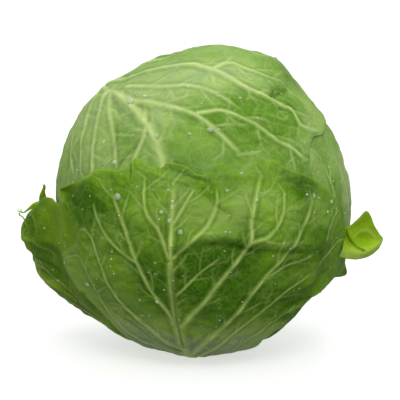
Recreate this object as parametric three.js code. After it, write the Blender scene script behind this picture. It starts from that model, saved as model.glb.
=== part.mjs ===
// A head of green cabbage standing on its cut stem: the packed inner head, three head leaves
// wrapped over it, and five looser outer leaves round its lower half.
//
// Millimetres, +Z up. The origin is the middle of the stem's cut face, which the head rests on.
// Directions round the head are an azimuth (0 is the front, -Y; 90 is the right, +X) and an
// elevation above the head's middle, both in degrees.
import * as THREE from "three";

// ---- driving dimensions ----
const INNER_RADIUS = 79; // packed inner head, from its middle
const STEM_LENGTH = 11.7; // cut stem below the inner head
const STEM_RADIUS = 14; // at the cut face
const COLLAR_RADIUS = 16; // where the leaves leave the stem
const STEM_EDGE = 1.2; // chamfer round the cut face
const BASE_RADIUS = 17.8; // from the stem's axis to where the leaves begin
const LEAF_THICKNESS = 0.8;
const LEAF_CLEARANCE = 0.75; // air between one leaf and the next
const SEAT_CLEARANCE = 0.3; // between the stem and the inner head
const STEM_CLEARANCE = 1.6; // between a leaf's base and the stem's collar
const CURL_HEIGHT = 19; // the right outer leaf's curled tip, out from the head
const FLARE_HEIGHT = 25; // the left outer leaf, out from the head

// ---- fineness of the faceted solids ----
const INNER_DETAIL = 7;
const STEM_SEGMENTS = 32;

const LEAF_PITCH = LEAF_THICKNESS + LEAF_CLEARANCE;
const HEAD_MIDDLE = new THREE.Vector3(0, 0, STEM_LENGTH + SEAT_CLEARANCE + INNER_RADIUS);
const { degToRad, radToDeg, mapLinear } = THREE.MathUtils;
const BASE = -radToDeg(Math.acos(BASE_RADIUS / INNER_RADIUS)); // the leaves' lowest elevation

function direction(azimuth, elevation) {
  const a = degToRad(azimuth);
  const e = degToRad(elevation);
  return new THREE.Vector3(Math.sin(a) * Math.cos(e), -Math.cos(a) * Math.cos(e), Math.sin(e));
}

// A flat map of the head round one direction: x runs east and y runs up, both in degrees, and
// a place's distance from the map's middle is its true angle from that direction.
class HeadMap {
  constructor([azimuth, elevation]) {
    this.middle = direction(azimuth, elevation);
    this.east = direction(azimuth + 90, 0);
    this.up = this.middle.clone().cross(this.east);
  }

  place(toward) {
    const x = toward.dot(this.east);
    const y = toward.dot(this.up);
    const angle = radToDeg(toward.angleTo(this.middle));
    const across = Math.hypot(x, y) || 1;
    return new THREE.Vector2((x / across) * angle, (y / across) * angle);
  }

  toward(angle, bearing) {
    const rise = degToRad(angle);
    return this.middle
      .clone()
      .multiplyScalar(Math.cos(rise))
      .addScaledVector(this.east, Math.sin(rise) * Math.cos(bearing))
      .addScaledVector(this.up, Math.sin(rise) * Math.sin(bearing));
  }
}

// A swelling is a smooth hump on the head or on one leaf: where it is, its half widths in
// degrees, and its height in millimetres (below zero for a hollow).
function swelling({ at, wide, tall = wide, height }) {
  const map = new HeadMap(at);
  return (toward) => {
    const p = map.place(toward);
    return height * Math.exp(-((p.x / wide) ** 2) - (p.y / tall) ** 2);
  };
}

function sumOf(swellings) {
  const humps = swellings.map(swelling);
  return (toward) => humps.reduce((sum, hump) => sum + hump(toward), 0);
}

// The head isn't a true ball: it is flattened on the upper right and fuller below.
const headShape = sumOf([
  { at: [0, 90], wide: 36, height: 2.6 },
  { at: [90, 25], wide: 28, height: -4 },
  { at: [95, -28], wide: 22, height: 1.5 },
  { at: [-90, 43], wide: 8, height: 1.6 },
  { at: [-90, 58], wide: 14, height: -2 },
  { at: [-14, -65], wide: 15, height: 4.5 },
  { at: [180, -10], wide: 40, height: -1.5 },
]);

const innerSurface = (toward) => INNER_RADIUS + headShape(toward);

// ---- one leaf, as a thin slab wrapped round the head ----

// The leaf's edge, as its angle from the leaf's middle for each bearing on the leaf's map.
function edgeAngle(map, outline) {
  const corners = outline
    .map(([azimuth, elevation]) => map.place(direction(azimuth, elevation)))
    .map((p) => ({ bearing: Math.atan2(p.y, p.x), angle: p.length() }))
    .sort((a, b) => a.bearing - b.bearing);
  const turn = 2 * Math.PI;
  const first = corners[0];
  const last = corners[corners.length - 1];
  const ring = [
    { bearing: last.bearing - turn, angle: last.angle },
    ...corners,
    { bearing: first.bearing + turn, angle: first.angle },
  ];
  return (bearing) => {
    const next = ring.findIndex((corner) => corner.bearing > bearing);
    const a = ring[next - 1];
    const b = ring[next];
    return mapLinear(bearing, a.bearing, b.bearing, a.angle, b.angle);
  };
}

// Keeps a leaf's base clear of the stem, however thick the stem is.
function clearOfStem(toward, radius) {
  const nearest = COLLAR_RADIUS + STEM_CLEARANCE;
  const across = Math.hypot(toward.x, toward.y) * radius;
  if (toward.z > 0 || across >= nearest) return toward;
  const side = nearest / radius / (Math.hypot(toward.x, toward.y) || 1);
  return new THREE.Vector3(toward.x * side, toward.y * side, toward.z).normalize();
}

// A leaf that lies over others is lifted wherever they are, as well as by its own lifts.
function liftOf({ lifts, over = [] }) {
  return sumOf([...lifts, ...over.flatMap((name) => LEAVES[name].lifts)]);
}

function leafGeometry(leaf) {
  const { middle, outline, layer, cells } = leaf;
  const map = new HeadMap(middle);
  const edge = edgeAngle(map, outline);
  const lift = liftOf(leaf);
  const slab = new THREE.BoxGeometry(2, 2, 2, cells, cells, 1);
  const corner = slab.getAttribute("position");
  for (let i = 0; i < corner.count; i++) {
    const [u, v, side] = [corner.getX(i), corner.getY(i), corner.getZ(i)];
    const bearing = Math.atan2(v, u);
    const share = Math.max(Math.abs(u), Math.abs(v));
    const toward = clearOfStem(map.toward(share * edge(bearing), bearing), INNER_RADIUS);
    const underside = innerSurface(toward) + layer * LEAF_PITCH - LEAF_THICKNESS + lift(toward);
    const radius = side > 0 ? underside + LEAF_THICKNESS : underside;
    corner.setXYZ(i, ...toward.multiplyScalar(radius).add(HEAD_MIDDLE).toArray());
  }
  slab.computeVertexNormals();
  return slab;
}

// ---- the leaves, from the innermost layer outwards ----
const LEAVES = {
  back_head_leaf: {
    layer: 1, middle: [-145, 5], cells: 20, lifts: [],
    outline: [
      [-90, -70], [-72, -40], [-66, -5], [-72, 30], [-95, 58], [-140, 72], [160, 70], [148, 45],
      [145, 10], [148, -25], [155, -55], [170, BASE + 3], [-150, BASE],
    ],
  },
  right_head_leaf: {
    layer: 2, middle: [110, 5], cells: 18, lifts: [],
    outline: [
      [70, -66], [46, -38], [36, -5], [38, 24], [54, 50], [92, 68], [150, 68], [182, 48],
      [184, 15], [182, -18], [176, -48], [160, -70], [110, BASE],
    ],
  },
  crown_leaf: {
    layer: 3, middle: [-20, 30], cells: 20, lifts: [],
    outline: [
      [0, BASE], [26, -66], [42, -48], [50, -22], [50, 5], [46, 20], [53, 30], [68, 31], [88, 38],
      [110, 48], [140, 58], [180, 63], [-150, 58], [-125, 40], [-112, 15], [-96, -10], [-78, -35],
      [-58, -60], [-35, BASE + 1],
    ],
  },
  left_outer_leaf: {
    layer: 4, middle: [-86, -28], cells: 16,
    lifts: [{ at: [-103, -24], wide: 18, tall: 36, height: FLARE_HEIGHT }],
    outline: [
      [-40, BASE], [-46, -58], [-52, -30], [-60, -8], [-70, 3], [-84, 5], [-98, 4], [-112, -3],
      [-126, -16], [-134, -34], [-132, -54], [-112, -70], [-76, BASE],
    ],
  },
  right_outer_leaf: {
    layer: 4, middle: [96, -30], cells: 16,
    lifts: [{ at: [93, -14], wide: 10, tall: 11, height: CURL_HEIGHT }],
    outline: [
      [60, BASE], [46, -62], [56, -34], [66, -14], [76, -5], [86, -1], [98, -3], [112, -10],
      [126, -22], [132, -42], [122, -62], [96, BASE + 1],
    ],
  },
  lower_right_leaf: {
    layer: 5, middle: [64, -50], cells: 10, over: ["right_outer_leaf"],
    lifts: [{ at: [84, -29], wide: 9, tall: 8, height: 5 }],
    outline: [
      [38, BASE + 3], [34, -62], [42, -46], [54, -34], [68, -25], [80, -22], [90, -26], [93, -38],
      [90, -54], [84, -68], [62, BASE],
    ],
  },
  back_outer_leaf: {
    layer: 5, middle: [172, -26], cells: 18, lifts: [],
    over: ["left_outer_leaf", "right_outer_leaf"],
    outline: [
      [110, BASE + 3], [106, -52], [110, -26], [117, -2], [130, 12], [150, 20], [170, 23], [-170, 20],
      [-150, 10], [-134, -4], [-127, -24], [-126, -48], [-138, -68], [180, BASE],
    ],
  },
  front_leaf: {
    layer: 6, middle: [-6, -22], cells: 20, lifts: [],
    over: ["left_outer_leaf", "right_outer_leaf", "lower_right_leaf"],
    outline: [
      [-58, BASE + 1], [-70, -60], [-74, -46], [-79, -30], [-80, -20], [-70, -10], [-61, -2], [-66, 8],
      [-56, 13], [-42, 19], [-30, 24], [-20, 23], [-11, 24], [-2, 20], [5, 24], [13, 20], [19, 24],
      [30, 23], [40, 17], [49, 13], [62, 3], [72, -8], [80, -22], [77, -36], [68, -48], [56, -60],
      [42, -71], [20, BASE], [-20, BASE - 1],
    ],
  },
};

// ---- the packed inner head and the stem ----
function innerHeadGeometry() {
  const ball = new THREE.IcosahedronGeometry(1, INNER_DETAIL);
  const corner = ball.getAttribute("position");
  for (let i = 0; i < corner.count; i++) {
    const toward = new THREE.Vector3().fromBufferAttribute(corner, i).normalize();
    const radius = innerSurface(toward);
    corner.setXYZ(i, ...toward.multiplyScalar(radius).add(HEAD_MIDDLE).toArray());
  }
  ball.computeVertexNormals();
  return ball;
}

// The lowest point of the inner head over the stem, which the stem's top stays under.
function innerHeadUnderside() {
  const steepest = radToDeg(Math.acos((COLLAR_RADIUS + SEAT_CLEARANCE) / INNER_RADIUS));
  let lowest = Infinity;
  for (let azimuth = 0; azimuth < 360; azimuth += 10) {
    for (const elevation of [-90, -steepest]) {
      const toward = direction(azimuth, elevation);
      lowest = Math.min(lowest, HEAD_MIDDLE.z + toward.z * innerSurface(toward));
    }
  }
  return lowest;
}

function stemGeometry() {
  const top = innerHeadUnderside() - SEAT_CLEARANCE;
  const profile = [
    [0, 0], [STEM_RADIUS - STEM_EDGE, 0], [STEM_RADIUS, STEM_EDGE],
    [COLLAR_RADIUS, top - STEM_EDGE], [COLLAR_RADIUS - STEM_EDGE, top], [0, top],
  ].map(([x, y]) => new THREE.Vector2(x, y));
  return new THREE.LatheGeometry(profile, STEM_SEGMENTS).rotateX(Math.PI / 2);
}

// ---- colours ----
const leafGreen = (color, roughness) => new THREE.MeshStandardMaterial({ color, roughness, metalness: 0 });
const FINISHES = {
  inner_head: leafGreen(0xb4cc8c, 0.55),
  back_head_leaf: leafGreen(0x8fb45f, 0.5),
  right_head_leaf: leafGreen(0x7ba657, 0.5),
  crown_leaf: leafGreen(0x85ac5b, 0.48),
  left_outer_leaf: leafGreen(0x55781c, 0.5),
  right_outer_leaf: leafGreen(0x86a826, 0.5),
  lower_right_leaf: leafGreen(0x4d7326, 0.5),
  back_outer_leaf: leafGreen(0x5f8a33, 0.5),
  front_leaf: leafGreen(0x5c8230, 0.45),
};

const cabbage = new THREE.Group();

function add(name, geometry, material) {
  const piece = new THREE.Mesh(geometry, material);
  piece.name = name;
  cabbage.add(piece);
}

add("cut_stem", stemGeometry(), new THREE.MeshStandardMaterial({ color: 0xe3e6c4, roughness: 0.6 }));
add("inner_head", innerHeadGeometry(), FINISHES.inner_head);
for (const [name, leaf] of Object.entries(LEAVES)) {
  add(name, leafGeometry(leaf), FINISHES[name]);
}

export default cabbage;
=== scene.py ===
# %% [markdown]
# # A head of green cabbage
#
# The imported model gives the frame: where every leaf is, how big the head is and where it stands.
# Its leaves are plain shells, so each one is replaced here by a finely modelled leaf in the same
# place. Everything is in metres, +Z up, with the origin in the middle of the stem's cut face.

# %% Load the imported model
import math
import time

import bmesh
import bpy
import numpy as np
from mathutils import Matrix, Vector, noise
from mathutils.bvhtree import BVHTree
from mathutils.kdtree import KDTree


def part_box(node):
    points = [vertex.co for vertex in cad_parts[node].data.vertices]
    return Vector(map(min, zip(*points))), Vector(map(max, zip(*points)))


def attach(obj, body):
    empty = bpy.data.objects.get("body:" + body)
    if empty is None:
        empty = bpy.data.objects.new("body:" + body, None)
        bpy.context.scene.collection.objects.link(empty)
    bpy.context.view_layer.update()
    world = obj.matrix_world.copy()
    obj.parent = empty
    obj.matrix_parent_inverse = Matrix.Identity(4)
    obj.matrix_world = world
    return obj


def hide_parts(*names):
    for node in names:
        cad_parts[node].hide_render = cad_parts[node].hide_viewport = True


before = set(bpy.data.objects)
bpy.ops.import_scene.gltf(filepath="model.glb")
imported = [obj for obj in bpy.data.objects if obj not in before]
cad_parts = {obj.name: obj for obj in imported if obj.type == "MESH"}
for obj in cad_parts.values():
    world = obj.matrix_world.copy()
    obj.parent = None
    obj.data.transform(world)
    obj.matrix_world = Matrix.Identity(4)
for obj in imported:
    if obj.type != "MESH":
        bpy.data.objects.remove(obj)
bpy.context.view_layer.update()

started = time.time()
MM = 0.001

# %% [markdown]
# ## Places round the head
#
# A cabbage head is nearly a ball, so every place on it is named by a direction from its middle:
# an azimuth (0 is the front, 90 the right) and an elevation above the middle, in degrees. The
# surface is then one number for each direction, its distance from the middle. Leaves that lie
# on each other are easy to keep apart this way: each one's distance is the last one's, plus a
# leaf's thickness. Modelling each leaf as a free sheet would need every overlap mended by hand.

# %% Directions and a flat map of the head
inner_low, inner_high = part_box("inner_head")
HEAD_RADIUS = -inner_low[0]
TOP_SWELLING = 2.6 * MM
HEAD_MIDDLE = np.array([0.0, 0.0, inner_high[2] - HEAD_RADIUS - TOP_SWELLING])
OUTER_MM = 86  # how far from the middle the outer leaves lie, in millimetres
ARC_DEGREE = math.radians(1) * OUTER_MM * MM  # one degree along the outer leaves
print("head middle", HEAD_MIDDLE.round(4), "radius", round(HEAD_RADIUS, 4))


def direction(azimuth, elevation):
    a, e = np.radians(azimuth), np.radians(elevation)
    return np.stack([np.sin(a) * np.cos(e), -np.cos(a) * np.cos(e), np.sin(e)], axis=-1)


def unit(vectors):
    return vectors / np.linalg.norm(vectors, axis=-1, keepdims=True)


def smoothstep(x):
    x = np.clip(x, 0, 1)
    return x * x * (3 - 2 * x)


class HeadMap:
    """A flat map round one direction: angles in degrees from its middle, bearings in radians."""

    def __init__(self, azimuth, elevation):
        self.middle = direction(azimuth, elevation)
        self.east = direction(azimuth + 90, 0)
        self.up = np.cross(self.middle, self.east)

    def place(self, toward):
        x, y = toward @ self.east, toward @ self.up
        angle = np.degrees(np.arccos(np.clip(toward @ self.middle, -1, 1)))
        return angle, np.arctan2(y, x)

    def across(self, bearing):
        return np.cos(bearing)[:, None] * self.east + np.sin(bearing)[:, None] * self.up

    def toward(self, angle, bearing):
        """The direction at an angle and bearing."""
        rise = np.radians(angle)[:, None]
        return np.cos(rise) * self.middle + np.sin(rise) * self.across(bearing)

    def outward(self, angle, bearing):
        """The way along the head, away from the map's middle."""
        rise = np.radians(angle)[:, None]
        return np.cos(rise) * self.across(bearing) - np.sin(rise) * self.middle


def swellings(humps):
    """Smooth humps: (azimuth, elevation, half width, half height, height), angles in degrees."""
    maps = [(HeadMap(az, el), wide, tall, height) for az, el, wide, tall, height in humps]

    def height_at(toward):
        total = np.zeros(len(toward))
        for chart, wide, tall, height in maps:
            angle, bearing = chart.place(toward)
            x, y = angle * np.cos(bearing), angle * np.sin(bearing)
            total += height * np.exp(-((x / wide) ** 2) - (y / tall) ** 2)
        return total

    return height_at


# %% [markdown]
# ## The shape under the leaves
#
# Real heads are never quite round. This one is flattened on its upper right, has a small pucker
# high on the left where the crown leaf's veins gather, and is fuller low in front where the
# thick leaf bases bunch together. Wide soft noise keeps it from looking turned on a lathe.

# %% Head shape
PLUMPING = 4.0 * MM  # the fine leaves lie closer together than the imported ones, so more is inside
UNEVENNESS = 1.0 * MM
head_humps = swellings([
    (0, 90, 36, 36, TOP_SWELLING),
    (90, 25, 28, 28, -3.6 * MM),
    (90, 10, 14, 14, 1.6 * MM),
    (80, 63, 14, 8, 4.0 * MM),
    (90, 48, 10, 7, -2.2 * MM),
    (90, 30, 8, 8, 1.2 * MM),
    (90, 80, 14, 10, 1.6 * MM),
    (-90, 75, 16, 12, -3.0 * MM),
    (-91, 49.5, 4, 3.5, 1.4 * MM),
    (-90, 42, 8, 8, 0.6 * MM),
    (-90, 58, 14, 12, -2.6 * MM),
    (-90, 18, 14, 14, 1.0 * MM),
    (-22, -62, 26, 15, 5.0 * MM),
    (42, -68, 16, 12, 3.5 * MM),
    (88, -44, 18, 11, -5.2 * MM),
    (-80, -62, 18, 9, 4.0 * MM),
    (180, -10, 40, 40, -1.5 * MM),
    (-24, -20, 8, 16, -0.8 * MM),
    (4, -20, 9, 10, -1.8 * MM),
    (24, -28, 10, 8, -1.4 * MM),
    (40, -20, 12, 6, -0.8 * MM),
])


def soft_noise(toward, scale, seed):
    """Smooth noise from -1 to 1 at each direction; scale is waves per head radius."""
    offset = Vector((seed * 7.3, seed * 3.1, seed * 5.7))
    return np.array([noise.noise(Vector(d) * scale + offset) for d in toward])


def head_surface(toward):
    return HEAD_RADIUS + PLUMPING + head_humps(toward) + UNEVENNESS * soft_noise(toward, 1.8, 1)


print("head surface", round(float(head_surface(direction([0], [0]))[0]) / MM, 1), "mm out in front")


# %% [markdown]
# ## Veins
#
# A leaf's veins are a tree: ribs leave the base, side veins leave the ribs, and finer ones leave
# those. They stand proud of the leaf's outer face and are paler than it. A displacement texture
# could draw them, but real ridges catch the light at the outline as well and stay when the mesh
# is used without its material. So each vein is a smooth line on the head, each mesh point finds
# the nearest line, and that distance makes both the ridge and the pale stripe.

# %% Lines on the head
STEP = 0.6 * MM / (OUTER_MM * MM)  # spacing of the samples along a vein, as an angle in radians


def smooth_line(points, closed=False, steps=12):
    """A Catmull-Rom curve through the points."""
    p = np.asarray(points, float)
    if closed:
        ring = np.vstack([p[-1:], p, p[:2]])
    else:
        ring = np.vstack([2 * p[:1] - p[1:2], p, 2 * p[-1:] - p[-2:-1]])
    t = np.linspace(0, 1, steps, endpoint=False)[:, None]
    spans = []
    for a, b, c, d in zip(ring[:-3], ring[1:-2], ring[2:-1], ring[3:]):
        spans.append(b + 0.5 * t * (c - a + t * (2 * a - 5 * b + 4 * c - d + t * (3 * b - a - 3 * c + d))))
    return np.vstack(spans + ([] if closed else [p[-1:]]))


def on_head(places):
    """A smooth path of directions through (azimuth, elevation) places, evenly sampled."""
    az, el = np.array(places, float).T
    path = unit(smooth_line(direction(az, el)))
    along = np.concatenate([[0], np.cumsum(np.linalg.norm(np.diff(path, axis=0), axis=1))])
    samples = np.linspace(0, along[-1], max(3, int(along[-1] / STEP)))
    return unit(np.stack([np.interp(samples, along, path[:, i]) for i in range(3)], axis=1))


class Line:
    """One vein or fold: its path, half width at both ends, height, and how pale it is."""

    def __init__(self, path, start_width, end_width, height, pale, fade=0.15):
        self.path = path
        share = np.linspace(0, 1, len(path))
        self.width = start_width + (end_width - start_width) * share
        uneven = np.array([noise.noise(Vector(p) * 13) for p in path])
        self.strength = smoothstep((1 - share) / fade) * (0.88 + 0.4 * uneven)
        self.height = height
        self.pale = pale

    def tangents(self):
        return unit(np.gradient(self.path, axis=0))


def vein_line(places, start_width, end_width, height):
    """A rib given by its places; its half widths and height are in millimetres."""
    return Line(on_head(places), start_width * MM, end_width * MM, height * MM, 1.0)


print("a sample every", round(STEP * OUTER_MM, 2), "mm along the veins")

# %% [markdown]
# ## Growing side veins
#
# Placing each fine vein by hand would take days, and a repeated pattern looks printed. So side
# veins grow step by step, as real ones seem to: each leaves its parent at a lean, bends, wanders
# a little and stops at the leaf's edge. Every leaf draws its random numbers from a seed of its
# own, so the same veins grow each time.

# %% Side veins
WANDER = 0.045  # how much a growing vein's heading varies at each step, in radians


def grow(start, heading, length, bend, rng, inside):
    """A vein that grows from start along heading, turning by bend, until it leaves the leaf."""
    path, here, ahead = [start], start, heading
    for _ in range(int(length / STEP)):
        side = np.cross(here, ahead)
        turn = bend * STEP + rng.normal(0, WANDER)
        ahead = unit(ahead * math.cos(turn) + side * math.sin(turn))
        here = unit(here + ahead * STEP)
        ahead = unit(ahead - here * (ahead @ here))
        path.append(here)
        if len(path) % 4 == 0 and not inside(here[None])[0]:
            break
    return np.array(path)


def side_veins(parents, spacing, length, lean, width, height, pale, rng, inside, first=0.12):
    """Veins that leave their parents to each side in turn, leaning towards the tip."""
    grown = []
    for parent in parents:
        tangents = parent.tangents()
        count = len(parent.path)
        at = int(count * first + rng.uniform(0, spacing / STEP))
        side = rng.choice([-1, 1])
        while at < count - 3:
            here, ahead = parent.path[at], tangents[at]
            across = np.cross(here, ahead) * side
            angle = math.radians(lean + rng.normal(0, 8))
            heading = unit(ahead * math.cos(angle) + across * math.sin(angle))
            reach = length * rng.uniform(0.5, 1.3)
            path = grow(here, heading, reach, -side * rng.uniform(0.2, 2.4), rng, inside)
            if len(path) > 6:
                thick = min(width, parent.width[at] * 0.7)
                grown.append(Line(path, thick, thick * 0.45, height, pale, fade=0.5))
            at += max(2, int(spacing / STEP * rng.uniform(0.6, 1.4)))
            side = -side
    return grown


# %% [markdown]
# ## Reading the nearest vein
#
# Every point of a leaf's mesh asks for its nearest vein, so the samples of the lines go into a
# k-d tree, which finds the closest one without trying them all. The distance from that line
# gives a rounded ridge, a narrower pale stripe on it, and a dark stripe of painted shade along
# both sides, which makes a raised vein look raised.

# %% Line field
CELL_SHARE = 0.55  # a line shows at least this share of a mesh cell wide
STRIPE_SHARE = 0.62  # the pale stripe is this much of the ridge's width
# painted shade: a dark stripe on both sides of each vein, this many ridge widths out
SIDE_SHADE_OUT = 1.9  # the gutters lie this many ridge widths from the line


class LineField:
    """Answers, for many directions at once, how high and how pale the nearest line makes them."""

    def __init__(self, lines):
        self.lines = lines
        if not lines:
            return
        self.points = np.vstack([line.path for line in lines])
        self.along = np.vstack([line.tangents() for line in lines])
        self.width = np.concatenate([line.width * np.ones(len(line.path)) for line in lines])
        self.strength = np.concatenate([line.strength for line in lines])
        self.height = np.concatenate([line.height * np.ones(len(line.path)) for line in lines])
        self.pale = np.concatenate([line.pale * np.ones(len(line.path)) for line in lines])
        self.tree = KDTree(len(self.points))
        for i, p in enumerate(self.points):
            self.tree.insert(p, i)
        self.tree.balance()

    def nearest(self, toward):
        if len(self.lines) == 1:
            return (toward @ self.points.T).argmax(axis=1)
        return np.array([self.tree.find(d)[1] for d in toward])

    def read(self, toward, grain):
        """(distance from the line, its height, its paleness, the painted shade beside it); a line
        is never narrower than the mesh can show, which is its grain"""
        if not self.lines:
            nothing = np.zeros(len(toward))
            return nothing + 1.0, nothing, nothing, nothing
        nearest = self.nearest(toward)
        away = toward - self.points[nearest]
        beside = away - (away * self.along[nearest]).sum(1, keepdims=True) * self.along[nearest]
        past = np.maximum(0, np.linalg.norm(away, axis=1) - 2.5 * STEP)
        distance = np.maximum(np.linalg.norm(beside, axis=1), past) * OUTER_MM * MM
        narrow = self.width[nearest]
        width = np.hypot(narrow, CELL_SHARE * grain)
        profile = np.exp(-((distance / width) ** 2)) * self.strength[nearest]
        thinned = narrow / width
        core = np.hypot(STRIPE_SHARE * narrow, CELL_SHARE * grain)
        fresh = self.pale[nearest] * self.strength[nearest]
        pale = fresh * np.exp(-((distance / core) ** 2)) * np.sqrt(STRIPE_SHARE * narrow / core)
        # painted shade: a dark stripe on each side of a vein, where a raised vein's flanks would be shaded
        side_shade = fresh * np.exp(-((distance / width - SIDE_SHADE_OUT) ** 2) / 0.5)
        return distance, self.height[nearest] * profile * thinned, pale, side_shade


# %% [markdown]
# ## A leaf
#
# Each leaf is a square grid wrapped round the head. The grid's middle goes to the leaf's middle
# and its border to the leaf's edge, so the edge can be any smooth outline. Only the outer part
# of the grid follows the small notches of the edge: if the whole grid did, its cells would shear
# and the veins would look cracked. A round leaf cut out of a finer grid would have a jagged edge.

# %% Leaf description
def blurred(around, width):
    """A closed row of numbers smoothed with a bell curve."""
    steps = np.arange(-3 * width, 3 * width + 1)
    bell = np.exp(-0.5 * (steps / width) ** 2)
    row = np.concatenate([around[-3 * width:], around, around[:3 * width]])
    return np.convolve(row, bell / bell.sum(), mode="valid")


CELLS = 46000  # in one leaf
EDGE_WAVES = (7, 11, 17, 26, 41)  # how often the waves of the edge go round the leaf
EDGE_WANDER = 3.0  # degrees
FEATHER = {  # the side veins of a feathered leaf's midrib
    "spacing": 17 * MM / (OUTER_MM * MM), "length": 1.35, "lean": 44,
    "width": 1.5 * MM, "height": 0.45 * MM, "pale": 0.85, "first": 0.06,
}


class Leaf:
    """One leaf: its outline on the head, its veins and folds, and how its blade swells.

    Ribs and feather midribs are (places, start half width, end half width, height), folds are
    (places, half width, height, paleness), both in millimetres. A fold's paleness is painted
    shade in its crease below zero and a painted highlight on its ridge above zero. Lifts, tones
    and lip are humps; tones are painted light and shade, along with some of the leaf's own paler
    and darker patches, and the lip widens the thin edge's painted light. Branches are the side
    veins' spacing and length in millimetres and their lean in degrees.
    """

    def __init__(self, name, middle, outline, seed, ribs=(), folds=(), lifts=(), tones=(),
                 ripple=1.0, edge_lift=0.8, puff=0.45, curls=(), branches=(9, 17, 42), feather=(),
                 lip=(), tuck=0.35):
        self.name = name
        self.seed = seed
        self.map = HeadMap(*middle)
        self.lift = swellings(lifts)
        self.tone = swellings(tones)
        self.lip = swellings(lip)
        self.tuck = tuck * MM
        self.edge_lift, self.puff = edge_lift * MM, puff * MM
        self.curls = curls
        places = np.array(outline, float)
        angle, bearing = self.map.place(direction(places[:, 0], places[:, 1]))
        flat = np.stack([angle * np.cos(bearing), angle * np.sin(bearing)], axis=1)
        ring = smooth_line(flat, closed=True)
        turned = np.arctan2(ring[:, 1], ring[:, 0])
        order = np.argsort(turned)
        rng = np.random.default_rng(seed)
        self.bearings = np.radians(np.arange(-180, 180, 0.25))
        reach = np.interp(self.bearings, turned[order], np.hypot(ring[:, 0], ring[:, 1])[order],
                          period=2 * math.pi)
        for k in EDGE_WAVES:
            size = ripple * EDGE_WANDER * rng.uniform(0.5, 1)
            reach += size * np.sin(k * self.bearings + rng.uniform(0, 6.28)) / k
        self.reach, self.body = blurred(reach, 3), blurred(reach, 40)
        self.border = self.border_tree()
        wide, tall = np.ptp(ring[:, 0]), np.ptp(ring[:, 1])
        self.columns = round(math.sqrt(CELLS * wide / tall))
        self.rows = round(CELLS / self.columns)
        self.grain = wide / self.columns * ARC_DEGREE
        self.build_veins(ribs, folds, branches, feather, rng)

    def border_tree(self):
        """The outline as closely and evenly spaced points, ready to be searched."""
        x, y = self.reach * np.cos(self.bearings), self.reach * np.sin(self.bearings)
        along = np.concatenate([[0], np.cumsum(np.hypot(np.diff(x), np.diff(y)))])
        samples = np.arange(0, along[-1], 0.15)
        tree = KDTree(len(samples))
        for i, (a, b) in enumerate(zip(np.interp(samples, along, x), np.interp(samples, along, y))):
            tree.insert((a, b, 0), i)
        tree.balance()
        return tree

    def edge(self, bearing):
        """The leaf's reach, in degrees, for each bearing."""
        return np.interp(bearing, self.bearings, self.reach, period=2 * math.pi)

    def angle_at(self, share, bearing):
        """Degrees from the middle at a share of the way out: only the outer part of the grid
        follows the notches of the outline, so that its cells don't shear across the leaf."""
        body = np.interp(bearing, self.bearings, self.body, period=2 * math.pi)
        return share * (body + (self.edge(bearing) - body) * share ** 3)

    def depth(self, toward):
        """How far inside the leaf's edge each direction is, in metres; below zero outside."""
        angle, bearing = self.map.place(toward)
        depth = self.edge(bearing) - angle
        x, y = angle * np.cos(bearing), angle * np.sin(bearing)
        close = (angle > self.reach.min() - 9) & (angle < self.reach.max() + 6)
        for i in np.nonzero(close)[0]:
            depth[i] = math.copysign(self.border.find((x[i], y[i], 0))[2], depth[i])
        return depth * ARC_DEGREE

    def inside(self, toward):
        return self.depth(toward) > 1.5 * MM

    def build_veins(self, ribs, folds, branches, feather, rng):
        """Three sizes of vein and the folds, each with its own field to read."""
        self.ribs = [vein_line(*rib) for rib in ribs]
        for description in feather:
            midrib = vein_line(*description)
            self.ribs += [midrib] + side_veins([midrib], **FEATHER, rng=rng, inside=self.inside)
        spacing, length, lean = branches
        arc = 1 / OUTER_MM
        second = side_veins(self.ribs, spacing * arc, length * arc, lean, 0.75 * MM, 0.26 * MM, 0.62,
                            rng, self.inside)
        third = side_veins(second, spacing * 0.5 * arc, length * 0.45 * arc, lean + 12, 0.5 * MM,
                           0.12 * MM, 0.4, rng, self.inside, first=0.2)
        self.vein_fields = [LineField(self.ribs), LineField(second), LineField(third)]
        self.fold_fields = [
            LineField([Line(on_head(places), wide * MM, wide * MM, high * MM, pale, fade=0.3)])
            for places, wide, high, pale in folds
        ]
        print(self.name, len(self.ribs), "ribs", len(second), "side veins", len(third), "fine veins")


# %% [markdown]
# ## The leaves of this head
#
# The head leaves come first and the loose outer leaves after them, in the order in which they
# lie on each other. The big leaves carry ribs given one by one, because a leaf's character is in
# where its ribs run: those of the crown leaf gather at the pucker, and the front leaf's fan out
# from its base. The small loose leaves and the back head leaf grow feathered veins from a midrib.

# %% Head leaves
# each leaf's tones are painted light and shade, along with some of its own paler and darker patches
back_head = Leaf(
    "back_head_leaf", (-145, 5), seed=11,
    outline=[
        (-90, -70), (-72, -40), (-66, -5), (-72, 30), (-95, 58), (-140, 72), (160, 70), (148, 45),
        (145, 10), (148, -25), (155, -55), (170, -74), (-150, -77),
    ],
    feather=[([(-160, -76), (-150, -30), (-146, 20), (-150, 60)], 2.6, 1.0, 0.9)],
)

right_head = Leaf(
    "right_head_leaf", (110, 5), seed=12,
    outline=[
        (70, -66), (46, -38), (36, -5), (38, 24), (54, 50), (92, 68), (150, 68), (182, 48),
        (184, 15), (182, -18), (176, -48), (160, -70), (110, -77),
    ],
    ribs=[
        ([(84, -74), (70, -30), (60, 2), (55, 24)], 1.6, 0.8, 0.4),
        ([(88, -74), (82, -30), (74, 5), (68, 30)], 1.8, 0.9, 0.5),
        ([(94, -76), (96, -30), (94, 10), (92, 46), (100, 62)], 2.6, 1.0, 0.8),
        ([(98, -74), (112, -30), (118, 8), (124, 40)], 2.2, 0.9, 0.6),
        ([(104, -74), (130, -34), (142, 4), (150, 36)], 2.0, 0.9, 0.6),
        ([(112, -76), (150, -40), (164, -5), (172, 26)], 1.8, 0.9, 0.5),
    ],
    branches=(13, 20, 30),
    tones=[(60, 14, 6, 22, -0.35), (48, 22, 5, 8, 0.3), (78, 4, 14, 14, 0.6)],
)

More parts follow.
